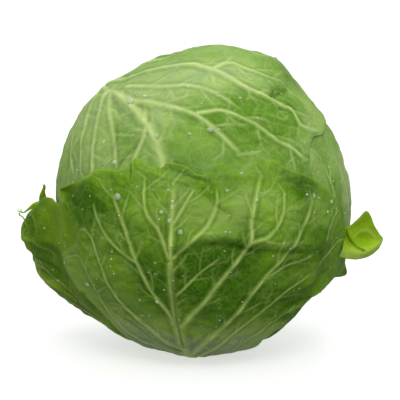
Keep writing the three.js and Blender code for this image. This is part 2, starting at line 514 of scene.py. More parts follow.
crown = Leaf(
    "crown_leaf", (-20, 30), seed=13,
    outline=[
        (0, -77), (26, -66), (42, -48), (50, -22), (50, 5), (46, 20), (53, 30), (68, 31), (88, 38),
        (110, 48), (140, 58), (180, 63), (-150, 58), (-125, 40), (-112, 15), (-96, -10), (-78, -35),
        (-58, -60), (-35, -76),
    ],
    ribs=[
        ([(-14, 8), (-17, 23), (-24, 34), (-33, 41), (-50, 47), (-85, 49)], 3.6, 1.4, 1.1),
        ([(-32, 42), (-28, 36), (-29, 28), (-31, 20)], 1.2, 0.8, 0.5),
        ([(-88, 48), (-46, 48), (-31, 48), (-16, 46), (-5, 43), (2, 39), (10, 32), (18, 23)], 1.5, 1.3, 0.8),
        ([(-3, 44), (8, 45), (17, 42), (25, 38), (32, 32), (38, 28), (46, 20)], 1.3, 0.8, 0.6),
        ([(-94, 51), (-60, 66), (-9, 69), (14, 62), (28, 54), (40, 49), (49, 42), (50, 35), (66, 31)],
         2.4, 1.2, 1.0),
        ([(9, 67), (28, 69), (45, 61), (60, 54)], 1.3, 0.6, 0.5),
        ([(-97, 52), (-106, 60), (-150, 84), (95, 78), (82, 68), (86, 60)], 1.8, 0.8, 0.6),
        ([(-60, 54), (-31, 56), (-14, 57), (-1, 55), (11, 50), (20, 44)], 1.3, 0.6, 0.5),
        ([(-93, 46), (-75, 39), (-64, 25), (-56, 12)], 1.1, 0.9, 0.6),
        ([(-80, 48), (-62, 38), (-53, 24), (-47, 14)], 1.4, 1.0, 0.7),
        ([(-72, 49), (-54, 40), (-43, 30), (-36, 18)], 1.2, 0.8, 0.5),
        ([(-97, 45), (-84, 36), (-73, 24), (-63, 12)], 1.0, 0.8, 0.5),
        ([(-100, 44), (-98, 30), (-92, 12), (-86, -5)], 1.2, 0.8, 0.5),
        ([(-98, 48.5), (-107, 43), (-113, 32), (-108, 14)], 1.2, 0.7, 0.5),
        ([(-99, 50), (-112, 50), (-130, 48), (-145, 46)], 1.2, 0.7, 0.5),
        ([(-98, 51), (-112, 56), (-150, 66), (178, 64)], 1.4, 0.7, 0.5),
    ],
    # folds: painted shade in the creases and painted highlights on the ridges, by the sign of the last
    # number
    folds=[
        ([(-45, 36), (-42, 31), (-42, 25)], 0.9, -0.9, -0.5),
        ([(-32, 28), (-36, 22), (-37, 18)], 1.0, -1.2, -0.8),
        ([(33, 33), (34, 29), (31, 26)], 0.8, -0.8, -0.5),
        ([(16, 31), (22, 31), (28, 33)], 0.8, -0.6, -0.35),
        ([(20, 33), (27, 30), (33, 31)], 0.7, -0.5, -0.35),
        ([(43, 51), (49, 53), (56, 51), (62, 54)], 1.5, -2.2, -1.0),
        ([(46, 50.5), (50, 51), (55, 49.5)], 1.7, -1.5, -0.9),
        ([(50, 50), (53, 47), (56, 45)], 0.9, -1.0, -0.6),
        ([(58, 51), (62, 46), (66, 41), (62, 38)], 1.1, 1.0, 0.35),
        ([(42, 44), (47, 45), (52, 44)], 1.2, -0.8, -0.5),
        ([(36, 41), (40, 39), (43, 40), (45, 42)], 0.7, 0.7, 0.3),
        ([(-60, 46), (-52, 43), (-46, 40), (-38, 33)], 0.8, -0.6, -0.45),
        ([(-38, 46), (-31, 45), (-24, 45)], 0.6, -0.6, -0.5),
        ([(-26, 34), (-20, 29), (-14, 26), (-8, 21), (-2, 18)], 0.6, -0.45, -0.4),
        ([(-36, 64), (-28, 65), (-20, 66)], 0.5, -0.4, -0.45),
        ([(-94, 47), (-84, 44), (-80, 41)], 0.7, 0.9, 0.4),
        ([(14, 38), (19, 36), (23, 37)], 0.7, -0.5, -0.45),
    ],
    # tones: painted light and shade, with some of the leaf's own paler patches along its ribs
    tones=[
        (-26, 38, 10, 10, 0.35), (6, 38, 16, 9, -0.5), (24, 28, 14, 8, -0.4), (34, 44, 12, 6, -0.4),
        (-60, 35, 26, 26, 0.35), (-32, 50, 22, 12, 0.25), (-20, 64, 60, 16, 0.3), (14, 64, 22, 9, 0.5),
        (-38, 34, 8, 8, -0.35), (-6, 32, 14, 8, -0.05), (20, 46, 16, 6, -0.6), (28, 36, 14, 6, -0.6),
        (42, 40, 10, 5, -0.5), (60, 58, 16, 10, -0.5), (14, 52, 14, 3, -0.2), (60, 36, 12, 6, 0.2),
    ],
    branches=(10, 19, 46), tuck=0.75,
)

# %% Loose outer leaves
# as with the head leaves, tones are painted light and shade, along with some of each leaf's own patches
left_outer = Leaf(
    "left_outer_leaf", (-86, -28), seed=14,
    outline=[
        (-40, -77), (-46, -58), (-50, -30), (-53, -6), (-62, 3), (-74, 1.5), (-82, 1.5), (-86, 0.5),
        (-89, -3), (-93, -7), (-100, -13), (-112, -20), (-126, -28), (-132, -42), (-128, -58),
        (-108, -70), (-76, -77),
    ],
    feather=[([(-62, -74), (-84, -50), (-98, -22), (-96, -2)], 2.2, 0.9, 0.8)],
    lifts=[
        (-103, -25, 18, 34, 24.0 * MM), (-95, -20, 10, 6, 1.2 * MM), (-97, -9, 13, 9, 5.2 * MM),
        (-95, -15, 8, 5, 1.5 * MM), (-86, -6, 5, 5, 1.2 * MM), (-84, -14.5, 7, 2.5, 2.2 * MM),
        (-82, -19.5, 6, 3.2, -2.0 * MM), (-95, -29, 14, 6, 2.0 * MM), (-76, -8, 3, 10, -1.0 * MM),
    ],
    # folds: painted shade in the creases and painted highlights on the ridges, by the sign of the last
    # number
    folds=[
        ([(-104, -19), (-93, -20.5), (-86, -22.5), (-80, -26), (-76, -29)], 1.5, -3.4, -0.9),
        ([(-92, -2), (-88, -6), (-86, -10), (-86, -14)], 0.7, 0.8, 0.4),
        ([(-98, -25), (-92, -29), (-86, -34), (-80, -41)], 1.6, 1.4, 0.6),
        ([(-103, -15), (-95, -14), (-88, -14.5), (-83, -18), (-79, -24)], 1.3, 1.2, 0.5),
        ([(-80, -5), (-78, -9)], 0.6, -0.5, -0.3),
    ],
    # tones: painted light and shade, darkest in the hollow under the arch
    tones=[
        (-84, -20, 7, 4.5, -1.5), (-90, -9, 6, 5, -0.5), (-96, -15, 5, 6, 0.5), (-78, -9, 5, 7, 0.1),
        (-88, -25, 10, 3, -0.6), (-92, -30, 9, 2.5, 0.7), (-84, -38, 14, 8, -0.5), (-88, -1, 4, 3, -0.5),
        (-72, -12, 3, 8, 0.3),
    ],
    ripple=0.9, edge_lift=0.5, puff=0.7, branches=(9, 15, 44),
)

right_outer = Leaf(
    "right_outer_leaf", (96, -30), seed=15,
    outline=[
        (60, -77), (46, -62), (56, -36), (66, -22), (76, -17), (86, -15), (98, -12), (112, -13),
        (126, -22), (132, -42), (122, -62), (96, -76),
    ],
    feather=[([(96, -75), (97, -45), (94, -14)], 2.4, 1.0, 0.8)],
    lifts=[(93, -18, 9, 7, 4.0 * MM)],
    branches=(9, 15, 44),
)

lower_right = Leaf(
    "lower_right_leaf", (64, -50), seed=16,
    outline=[
        (38, -74), (34, -62), (42, -46), (54, -34), (68, -25), (80, -22), (90, -26), (93, -38),
        (90, -54), (84, -68), (62, -77),
    ],
    feather=[([(66, -76), (70, -54), (82, -27)], 1.8, 0.8, 0.6)],
    lifts=[(85, -28.5, 5, 3.4, 7.8 * MM)],
    tones=[(80, -30, 20, 20, -0.3)],
    branches=(9, 14, 44),
)

back_outer = Leaf(
    "back_outer_leaf", (172, -26), seed=17,
    outline=[
        (110, -74), (106, -52), (110, -26), (117, -2), (130, 12), (150, 20), (170, 23), (-170, 20),
        (-150, 10), (-134, -4), (-127, -24), (-126, -48), (-138, -68), (180, -77),
    ],
    ribs=[
        ([(176, -76), (174, -40), (170, -8), (168, 20)], 3.6, 1.3, 1.3),
        ([(174, -72), (164, -46), (154, -18), (146, 8)], 2.4, 0.9, 0.9),
        ([(173, -74), (154, -54), (138, -30), (126, -6)], 2.0, 0.8, 0.7),
        ([(172, -75), (148, -64), (128, -48), (118, -32)], 1.6, 0.7, 0.6),
        ([(178, -74), (-176, -52), (-166, -26), (-158, 2)], 2.4, 0.9, 0.9),
        ([(179, -75), (-168, -60), (-152, -42), (-142, -20)], 2.0, 0.8, 0.7),
        ([(180, -76), (-160, -68), (-143, -58), (-134, -44)], 1.5, 0.7, 0.5),
        ([(173, -26), (179, -10), (-176, 12)], 1.4, 0.6, 0.6),
        ([(171, -14), (163, 0), (157, 15)], 1.3, 0.6, 0.5),
        ([(149, -10), (140, -2), (134, 8)], 1.1, 0.5, 0.4),
    ],
    ripple=1.5, edge_lift=2.0, puff=0.7, branches=(9, 18, 44),
)

front = Leaf(
    "front_leaf", (-6, -22), seed=18,
    outline=[
        (-62, -73), (-56, -61), (-63, -53), (-68, -42), (-71, -33), (-74, -26), (-73, -19), (-64, -14),
        (-58, -11), (-55, -5), (-57, 0), (-64, 4), (-67, 8), (-61, 11), (-54, 13), (-46, 18), (-39, 19),
        (-33, 20), (-29, 25), (-25, 23), (-20, 22), (-15, 24), (-8, 23), (-3, 20), (1, 20), (6, 24),
        (12, 20), (16, 21), (20, 24), (28, 24), (34, 20), (40, 17), (47, 14), (55, 9), (63, 2), (71, -10),
        (79, -20), (80, -27), (68, -32), (56, -34), (54, -42), (50, -52), (46, -64), (38, -73), (20, -78),
        (-20, -78), (-50, -77),
    ],
    ribs=[
        ([(-14, -76), (-15, -54), (-14, -36), (-13, -15), (-12, 5), (-12, 21)], 3.8, 1.2, 1.5),
        ([(-13, -12), (-17, -1), (-22, 6), (-24, 20)], 1.3, 0.7, 0.6),
        ([(-15, -54), (-17, -38), (-25, -20), (-29, -5), (-35, 8), (-39, 15)], 1.9, 0.8, 0.9),
        ([(-27, -14), (-33, -10), (-41, -3), (-46, 7)], 1.2, 0.7, 0.6),
        ([(-15, -62), (-32, -47), (-43, -32), (-45, -17), (-48, -7), (-54, -3)], 1.7, 0.8, 0.8),
        ([(-20, -70), (-42, -58), (-58, -44), (-55, -30), (-56, -20), (-62, -15)], 1.5, 0.8, 0.7),
        ([(-24, -73), (-50, -64), (-66, -50), (-74, -38), (-74, -22)], 1.1, 0.6, 0.5),
        ([(-11, 3), (-8, 8), (-4, 15)], 0.9, 0.5, 0.4),
        ([(-11, -10), (-5, -4), (1, 2), (4, 9), (4, 16)], 1.3, 0.6, 0.6),
        ([(-11, -26), (-3, -18), (6, -10)], 0.9, 0.4, 0.4),
        ([(-12, -44), (-3, -33), (8, -18), (16, -5), (17, 4), (23, 23)], 2.3, 0.9, 1.0),
        ([(16, -5), (24, -3), (29, 4), (31, 14)], 1.3, 0.6, 0.6),
        ([(-16, -68), (0, -55), (14, -38), (24, -21), (34, -8), (41, 4), (46, 13)], 2.2, 0.9, 1.0),
        ([(25, -21), (34, -16), (46, -13)], 1.2, 0.5, 0.5),
        ([(-18, -73), (8, -58), (26, -38), (40, -26), (52, -20)], 1.3, 0.5, 0.6),
        ([(-14, -75), (20, -64), (36, -48), (46, -34)], 1.1, 0.5, 0.5),
        ([(52, -10), (55, -3), (60, 2)], 1.0, 0.5, 0.5),
        ([(52, -18), (62, -12), (70, -12)], 0.8, 0.4, 0.4),
    ],
    # folds: painted shade in the creases, darkest in the band just under the ridge across the middle, and
    # painted highlights on the raised ones
    folds=[
        ([(-9, -6), (-2, -3), (6, -2), (17, -5), (37, -8), (53, -10)], 4.5, 1.9, 0.0),
        ([(-15, -58), (-14, -40), (-13, -25), (-13, -8)], 1.1, -1.6, -1.0),
        ([(-13, 22), (-5, 19), (1, 17), (4, 12)], 1.2, -1.3, -0.6),
        ([(-31, 23), (-30, 19), (-30, 16)], 0.5, -1.3, -0.9),
        ([(-31, -3), (-27, 4), (-22, 5)], 0.6, -0.5, -0.3),
        ([(52, -9), (53, -12)], 0.9, -1.0, -0.7),
        ([(-9, -9), (-2, -6), (6, -5), (17, -8), (37, -11), (53, -13)], 2.3, -0.9, -0.6),
        ([(38, -33), (48, -29), (58, -24), (66, -21)], 1.8, -0.9, -0.3),
        ([(34, -42), (46, -37), (60, -30), (70, -24)], 1.5, 1.2, 0.25),
        ([(24, -54), (36, -48), (48, -42)], 1.6, -0.9, -0.3),
        ([(-62, -20), (-56, -32), (-44, -46), (-26, -60)], 1.2, -0.8, -0.3),
        ([(14, 4), (19, 3), (22, 1)], 0.6, -0.5, -0.35),
        ([(5, 8), (9, 5), (8, 2)], 1.0, -0.7, -0.5),
        ([(-22, 20), (-12, 18), (-4, 16)], 0.9, 0.5, 0.15),
        ([(24, 14), (32, 16), (40, 12), (46, 13)], 1.0, -0.6, -0.3),
        ([(-66, 3), (-60, 5), (-52, 2)], 1.6, -0.9, -0.4),
        ([(-20, -62), (-36, -52), (-50, -40)], 1.0, -0.8, -0.4),
    ],
    lifts=[(-50, 12, 10, 8, 1.2 * MM), (-14, -72, 10, 8, 2.5 * MM)],
    # tones: painted shade in the band under the ridge across the middle and below it, painted light above
    # it, along with some of the leaf's own paler patches
    tones=[
        (18, 6, 34, 7, 0.35), (-18, 12, 16, 7, 0.1), (0, -20, 14, 9, -1.1), (8, -11, 12, 4, -0.9),
        (36, -14, 20, 4, -0.35), (-18, -28, 10, 12, -0.35), (30, -34, 26, 10, -0.35),
        (50, -36, 14, 14, -0.2), (3, 13, 5, 4, -0.7), (-3, 8, 11, 9, 0.35), (-50, 8, 14, 7, -0.9),
        (-60, 0, 8, 6, -0.5), (-40, -46, 18, 12, 0.3), (-50, -24, 14, 16, 0.1), (-14, -66, 24, 13, 2.1),
        (-40, -50, 20, 10, 0.3), (34, -52, 20, 8, 0.35), (38, 12, 10, 4, -0.3), (16, 12, 10, 4, 0.25),
        (-70, -30, 8, 16, 0.35),
    ],
    ripple=0.5, edge_lift=0.3, puff=0.85, curls=[(-64, 9, 7, 120, 4)], branches=(10, 17, 42),
    # lip: a wider band of painted light along the rolled edge at the upper left, where light shines through
    # it
    lip=[(-61, 10, 9, 6, 3.0 * MM), (-48, 17, 8, 4, 1.6 * MM), (-28, 25, 3, 4, 0.8 * MM)], tuck=0.75,
)

STACK = [back_head, right_head, crown, left_outer, right_outer, lower_right, back_outer, front]
print(len(STACK), "leaves, from the innermost to the outermost")

# %% [markdown]
# ## Where each leaf lies
#
# Going up the stack, each leaf rests on the head and on every leaf below it, and settles back
# onto the head a little way past their edges. Where a later leaf covers it, its own veins and
# puffs fade away, as leaves pressed together flatten each other.

# %% Seat and pressure
LEAF_THICKNESS = 0.8 * MM
LEAF_GAP = 0.3 * MM
DRAPE = 7 * MM  # how far past a leaf's edge the next leaf takes to settle down
PRESSED_EDGE = 4 * MM  # how far under a leaf's edge the one below it still keeps some shape


def seat(leaf, toward):
    """The distance of the surface that a leaf's inner face lies on."""
    radius = head_surface(toward)
    for below in STACK[: STACK.index(leaf)]:
        cover = smoothstep((below.depth(toward) + DRAPE) / DRAPE)
        radius = radius + cover * (LEAF_THICKNESS + LEAF_GAP + below.lift(toward))
    return radius


def freedom(leaf, toward):
    """0 where later leaves lie on this one, 1 where it is free."""
    free = np.ones(len(toward))
    for above in STACK[STACK.index(leaf) + 1:]:
        free *= 1 - smoothstep(above.depth(toward) / PRESSED_EDGE)
    return free


# %% [markdown]
# ## The relief of a leaf
#
# What stands up from a leaf's seat is the sum of its ribs, the puffs of blade between them, its
# folds, two sizes of soft waves, a ruffled edge, and the edge's own tuck onto the leaf below. A
# dent deeper than the gap would reach the leaf under it, so dents are squeezed to a depth limit.

# %% Relief
DEEPEST = 0.9 * MM  # the limit for dents
PUFF_REACH = 6 * MM  # the blade is fully puffed this far from its veins
RUFFLED_EDGE = 10 * MM  # how far in from the edge the leaf is ruffled
TUCKED_EDGE = 1.6 * MM
# how dark the painted shade beside the veins is
SIDE_SHADE_STRENGTH = 0.45


def relief_of(leaf, toward, depth):
    """(height over the seat, how pale the veins are, the painted shade beside the veins and the painted
    shade and highlights of the folds)
    """
    ridge, vein, side_shade = np.zeros((3, len(toward)))
    nearest = np.full(len(toward), 1.0)
    for field in leaf.vein_fields:
        distance, height, pale, beside = field.read(toward, leaf.grain)
        ridge = np.maximum(ridge, height)
        vein = np.maximum(vein, pale)
        side_shade = np.maximum(side_shade, beside)
        nearest = np.minimum(nearest, distance * (1 if field is leaf.vein_fields[0] else 1.6))
    # shade starts as the painted shade beside the veins; each fold adds painted shade in its crease below
    # zero and a painted highlight on its ridge above zero
    fold, shade = np.zeros(len(toward)), -SIDE_SHADE_STRENGTH * side_shade * (1 - vein)
    for field in leaf.fold_fields:
        _, height, pale, _ = field.read(toward, leaf.grain)
        fold += height
        shade += pale
    puff = leaf.puff * (smoothstep(nearest / PUFF_REACH) - 0.5)
    waves = 1.1 * MM * soft_noise(toward, 5, leaf.seed) + 0.55 * MM * soft_noise(toward, 12, leaf.seed + 1)
    near_edge = 1 - smoothstep(depth / RUFFLED_EDGE)
    ruffle = near_edge * (leaf.edge_lift + 0.9 * leaf.edge_lift * soft_noise(toward, 9, leaf.seed + 2))
    tuck = leaf.tuck * np.exp(-((depth / TUCKED_EDGE) ** 2))
    relief = ridge + puff + fold + waves + ruffle - tuck
    return np.where(relief < 0, DEEPEST * np.tanh(relief / DEEPEST), relief), vein, shade


def curled(place, leaf, toward, outward, depth):
    """The points of a leaf after the curls of its edge have rolled it back over itself."""
    for az, el, wide, turn, reach in leaf.curls:
        spot, _ = HeadMap(az, el).place(toward)
        strength = np.exp(-((spot / wide) ** 2)) * math.radians(turn)
        along = np.clip(1 - depth / (reach * MM), 0, 1) * reach * MM
        bent = strength / (reach * MM) + 1e-6
        rise = (1 - np.cos(bent * along)) / bent
        pull = along - np.sin(bent * along) / bent
        place = place + toward * rise[:, None] - outward * pull[:, None]
    return place


# %% [markdown]
# ## Wrapping the leaves round the head
#
# The grid's points are moved to their places and carry four values for the finish: how much pale
# vein there is at each, the painted shade and highlights of the folds and beside the veins, the
# nearness of the edge, which is painted brighter as light through it, and the tone, which is
# painted light and shade along with some of the leaf's own patches. A Solidify modifier gives the
# sheet its thickness, which keeps both faces the same shape, as a real leaf's are.

# %% Build the leaves
def mesh_from(bm, name):
    mesh = bpy.data.meshes.new(name)
    bm.to_mesh(mesh)
    bm.free()
    mesh.polygons.foreach_set("use_smooth", [True] * len(mesh.polygons))
    return mesh


def grid_mesh(name, across, down):
    bm = bmesh.new()
    bmesh.ops.create_grid(bm, x_segments=across, y_segments=down, size=1.0)
    return mesh_from(bm, name)


def points_of(mesh):
    flat = np.empty(len(mesh.vertices) * 3)
    mesh.vertices.foreach_get("co", flat)
    return flat.reshape(-1, 3)


def into_scene(name, data):
    made = bpy.data.objects.new(name, data)
    bpy.context.scene.collection.objects.link(made)
    return made


def leaf_sheet(name, mesh, place, values):
    """A piece of the head: the grid with its points at place, their values, and a leaf's wall."""
    mesh.vertices.foreach_set("co", place.ravel())
    for key, value in values.items():
        mesh.attributes.new(key, "FLOAT", "POINT").data.foreach_set("value", value.astype(np.float32))
    piece = into_scene(name, mesh)
    wall = piece.modifiers.new("leaf_wall", "SOLIDIFY")
    wall.thickness = LEAF_THICKNESS
    wall.offset = -1
    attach(piece, "root")
    return piece


def wrap_leaf(leaf):
    mesh = grid_mesh(leaf.name, leaf.columns, leaf.rows)
    u, v, _ = points_of(mesh).T
    bearing = np.arctan2(v, u)
    share = np.maximum(abs(u), abs(v))
    angle = leaf.angle_at(share, bearing)
    toward = leaf.map.toward(angle, bearing)
    depth = np.where(share > 0.9999, 0, leaf.depth(toward))
    free = freedom(leaf, toward)
    relief, vein, shade = relief_of(leaf, toward, depth)
    radius = seat(leaf, toward) + LEAF_GAP + LEAF_THICKNESS + leaf.lift(toward) + free * relief
    place = HEAD_MIDDLE + toward * radius[:, None]
    place = curled(place, leaf, toward, leaf.map.outward(angle, bearing), depth)
    # vein: pale veins; shade: painted shade and highlights of the folds and beside the veins; rim: the thin
    # edge, painted brighter as light through it; tone: painted light and shade with some of the leaf's own
    # patches
    piece = leaf_sheet(leaf.name + "_fine", mesh, place, {
        "vein": np.clip(vein, 0, 1),
        "shade": np.clip(shade, -1, 1) * free,
        "rim": np.exp(-depth / (0.4 * MM + leaf.lip(toward))),
        "tone": leaf.tone(toward),
    })
    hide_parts(leaf.name)
    return piece


fine_leaves = {leaf.name: wrap_leaf(leaf) for leaf in STACK}
print("leaves wrapped after", round(time.time() - started, 1), "s")

# %% [markdown]
# ## Leaf tissue
#
# Cabbage leaf is satin: a waxy skin over green tissue, with a pale net of the finest veins in it,
# darker and lighter patches, and a whitish bloom that rubs off in places. The bloom's colour also
# stands in for the leaf's greyish sheen, as a painted sheen. All leaves share these, so they are
# one node group with a colour set for each leaf. The bloom and the net are patterns on object
# coordinates, which need no unwrapping. The main veins, the painted shade and highlights of the
# folds and beside the veins, the painted light of the thin edge and the tone's painted light and
# shade come from the mesh's own attributes, so that they sit exactly on the modelled ridges.

# %% Leaf tissue node group
def socket(group, name, kind, inward=True, value=None):
    made = group.interface.new_socket(name=name, in_out="INPUT" if inward else "OUTPUT",
                                      socket_type="NodeSocket" + kind)
    if value is not None:
        made.default_value = value


class Nodes:
    """Adds nodes to a tree and links them, with fewer words."""

    def __init__(self, tree):
        self.tree = tree
        self.skin = tree.nodes.get("Principled BSDF")

    def fill(self, node, inputs):
        """Links or sets each input, by what it is given."""
        for key, value in inputs.items():
            if isinstance(value, bpy.types.NodeSocket):
                self.tree.links.new(value, node.inputs[key])
            else:
                node.inputs[key].default_value = value
        return node

    def add(self, kind, inputs=None, **settings):
        node = self.tree.nodes.new(kind)
        for key, value in settings.items():
            setattr(node, key, value)
        return self.fill(node, inputs or {})

    def math(self, operation, a, b=0.0, clamp=False):
        return self.add("ShaderNodeMath", {0: a, 1: b}, operation=operation, use_clamp=clamp).outputs[0]

    def mix(self, factor, a, b, blend="MIX"):
        node = self.add("ShaderNodeMix", {0: factor, 6: a, 7: b}, data_type="RGBA", blend_type=blend)
        return node.outputs[2]

    def range(self, value, low, high, to_low=0.0, to_high=1.0):
        node = self.add("ShaderNodeMapRange", {0: value, 1: low, 2: high, 3: to_low, 4: to_high})
        return node.outputs[0]


def vein_net(n, place):
    """The lace of the finest veins, in two sizes of mesh, both bent out of straight."""
    bend = n.add("ShaderNodeTexNoise", {"Vector": place, "Scale": 120.0, "Detail": 2.0})
    warped = n.add("ShaderNodeMixRGB", {0: 0.006, 1: place, 2: bend.outputs["Color"]}, blend_type="ADD")
    small, wide = (
        n.add("ShaderNodeTexVoronoi", {"Vector": warped.outputs[0], "Scale": scale},
              feature="DISTANCE_TO_EDGE").outputs["Distance"]
        for scale in (330.0, 120.0)
    )
    thread = n.range(small, 0.0, 0.16, 1.0, 0.0)
    cord = n.range(wide, 0.0, 0.07, 1.0, 0.0)
    return n.math("MAXIMUM", n.math("MULTIPLY", thread, 0.35), n.math("MULTIPLY", cord, 0.75))


def rare_specks(n, place):
    """1 on a few small round dots, 0 elsewhere."""
    speck = n.add("ShaderNodeTexVoronoi", {"Vector": place, "Scale": 85.0})
    spot = n.range(speck.outputs["Distance"], 0.035, 0.075, 1.0, 0.0)
    lot = n.add("ShaderNodeSeparateColor", {0: speck.outputs["Color"]}).outputs[0]
    return n.math("MULTIPLY", spot, n.math("GREATER_THAN", lot, 0.8))


def make_tissue_group():
    group = bpy.data.node_groups.new("leaf_tissue", "ShaderNodeTree")
    for name in ("Blade", "Deep", "Vein Colour", "Rim Colour", "Bloom Colour"):
        socket(group, name, "Color")
    for name, value in (("Vein", 0), ("Shade", 0), ("Rim", 0), ("Tone", 0), ("Bloom", 0.3), ("Net", 0.3)):
        socket(group, name, "Float", value=value)
    for name, kind in (("Colour", "Color"), ("Roughness", "Float"), ("Height", "Float")):
        socket(group, name, kind, inward=False)
    n = Nodes(group)
    given = n.add("NodeGroupInput").outputs
    place = n.add("ShaderNodeTexCoord").outputs["Object"]
    lace = n.math("MULTIPLY", vein_net(n, place), given["Net"])

    patch = n.add("ShaderNodeTexNoise", {"Vector": place, "Scale": 38.0, "Detail": 4.0, "Roughness": 0.6})
    cloud = n.add("ShaderNodeTexNoise", {"Vector": place, "Scale": 95.0, "Detail": 3.0, "Roughness": 0.55})
    # the noise patches are the leaf's own uneven colour; Tone shifts them darker below zero and lighter
    # above, as painted light and shade along with some of the leaf's own patches
    dark = n.math("SUBTRACT", n.range(patch.outputs["Fac"], 0.35, 0.68),
                  n.math("MULTIPLY", given["Tone"], 0.9), clamp=True)
    colour = n.mix(dark, given["Blade"], given["Deep"])
    light = n.math("MULTIPLY", n.math("MAXIMUM", given["Tone"], 0.0), 0.5, clamp=True)
    colour = n.mix(light, colour, given["Vein Colour"])
    # the whitish waxy bloom, which also stands in for a greyish sheen as a painted sheen; a strong Tone adds
    # more of it
    bloom_and_sheen = n.math("MULTIPLY", n.range(cloud.outputs["Fac"], 0.38, 0.66), given["Bloom"])
    bloom_and_sheen = n.math("MULTIPLY", bloom_and_sheen, n.range(given["Tone"], -0.35, 0.4))
    bloom_and_sheen = n.math("ADD", bloom_and_sheen, n.range(given["Tone"], 0.5, 1.3, 0.0, 0.8), clamp=True)
    colour = n.mix(bloom_and_sheen, colour, given["Bloom Colour"])
    colour = n.mix(n.math("MULTIPLY", lace, 0.6), colour, given["Vein Colour"])
    colour = n.mix(n.math("MULTIPLY", given["Vein"], 0.95), colour, given["Vein Colour"])
    # Rim: painted light along the thin edge, and on the curled tip a darker line of painted shade
    colour = n.mix(n.math("MULTIPLY", given["Rim"], 0.7), colour, given["Rim Colour"])
    # Shade above zero is a painted highlight on the folds' ridges; below zero it is painted shade in the
    # creases and beside the veins, mixed towards a darkened deep green that the rare specks, real blemishes,
    # share
    paler = n.math("MAXIMUM", given["Shade"], 0.0)
    colour = n.mix(paler, colour, given["Vein Colour"])
    deeper = n.math("MULTIPLY", n.math("MINIMUM", given["Shade"], 0.0), -0.8)
    shade_and_speck_colour = n.mix(1.0, given["Deep"], (0.35, 0.38, 0.3, 1), "MULTIPLY")
    colour = n.mix(deeper, colour, shade_and_speck_colour)
    colour = n.mix(n.math("MULTIPLY", rare_specks(n, place), 0.35), colour, shade_and_speck_colour)

    rough = n.range(cloud.outputs["Fac"], 0.3, 0.7, 0.36, 0.56)
    pores = n.add("ShaderNodeTexNoise", {"Vector": place, "Scale": 900.0, "Detail": 2.0})
    height = n.math("ADD", lace, n.math("MULTIPLY", pores.outputs["Fac"], 0.35))
    height = n.math("ADD", height, n.math("MULTIPLY", cloud.outputs["Fac"], 1.2))
    n.add("NodeGroupOutput", {"Colour": colour, "Roughness": rough, "Height": height})
    return group


leaf_tissue = make_tissue_group()
print("leaf tissue", len(leaf_tissue.nodes), "nodes")


# %% [markdown]
# ## From tissue to material
#
# The shader stays in the material itself, and the group only gives it a colour, a roughness and
# a height. A little light goes into the leaf and comes out beside where it entered, most of it
# green, so the skin has some subsurface scattering and very little plain shine.

# %% Materials
def srgb(r, g, b):
    """Linear colour from 8-bit screen values."""
    def linear(c):
        c /= 255
        return c / 12.92 if c <= 0.04045 else ((c + 0.055) / 1.055) ** 2.4
    return (linear(r), linear(g), linear(b), 1.0)


def new_material(name, **inputs):
    """A material with its shader's own inputs set, and the helper for its nodes."""
    material = bpy.data.materials.new(name)
    material.use_nodes = True
    n = Nodes(material.node_tree)
    n.fill(n.skin, {key.replace("_", " "): value for key, value in inputs.items()})
    return material, n


def cover_skin(n, colour, roughness, height, depth):
    """Links a pattern's colour, roughness and height to the shader of a material."""
    bump = n.add("ShaderNodeBump", {"Height": height, "Strength": 0.5, "Distance": depth})
    n.fill(n.skin, {"Base Color": colour, "Roughness": roughness, "Normal": bump.outputs["Normal"]})


def leaf_material(name, blade, deep, vein, rim, bloom_and_sheen_colour, bloom_and_sheen, net):
    material, n = new_material(
        name, Subsurface_Weight=0.12, Subsurface_Radius=(0.6, 1.0, 0.2), Subsurface_Scale=0.0015,
        Specular_IOR_Level=0.08)
    tissue = n.add("ShaderNodeGroup", node_tree=leaf_tissue)
    # Rim Colour is painted light along the thin edge, and the bloom colour is the bloom with a painted sheen
    n.fill(tissue, {
        "Blade": srgb(*blade), "Deep": srgb(*deep), "Vein Colour": srgb(*vein), "Rim Colour": srgb(*rim),
        "Bloom Colour": srgb(*bloom_and_sheen_colour), "Bloom": bloom_and_sheen, "Net": net,
    })
    for key in ("Vein", "Shade", "Rim", "Tone"):
        read = n.add("ShaderNodeAttribute", attribute_name=key.lower())
        n.fill(tissue, {key: read.outputs["Fac"]})
    cover_skin(n, tissue.outputs["Colour"], tissue.outputs["Roughness"], tissue.outputs["Height"], 0.0003)
    return material


# %% [markdown]
# ## One finish for each kind of leaf
#
# The head leaves grew in shade, so they are paler and have more bloom. The outer leaves had the
# sun: a deep, saturated green. On every leaf the bloom also carries a painted sheen, and the thin
# edge is painted brighter, as light shining through it. The small curled leaf at the right is
# young and yellow-green, and its edge is painted darker, as the shade under it.

# %% Leaf finishes
# rim is the colour of the painted light along each thin edge; the curled leaf's darker rim is painted shade
# under its edge
FINISHES = {
    "head_leaf": leaf_material(
        "head_leaf", blade=(140, 178, 76), deep=(94, 142, 30), vein=(206, 224, 146),
        rim=(190, 212, 120), bloom_and_sheen_colour=(142, 170, 118), bloom_and_sheen=0.55, net=0.3),
    "outer_leaf": leaf_material(
        "outer_leaf", blade=(118, 164, 28), deep=(64, 112, 0), vein=(194, 222, 120),
        rim=(138, 180, 34), bloom_and_sheen_colour=(146, 168, 120), bloom_and_sheen=0.3, net=0.3),
    "side_leaf": leaf_material(
        "side_leaf", blade=(128, 168, 14), deep=(78, 122, 0), vein=(170, 200, 84),
        rim=(160, 186, 60), bloom_and_sheen_colour=(116, 148, 64), bloom_and_sheen=0.05, net=0.35),
    "curled_leaf": leaf_material(
        "curled_leaf", blade=(156, 196, 24), deep=(122, 166, 0), vein=(186, 210, 100),
        rim=(140, 168, 80), bloom_and_sheen_colour=(170, 196, 90), bloom_and_sheen=0.1, net=0.3),
}
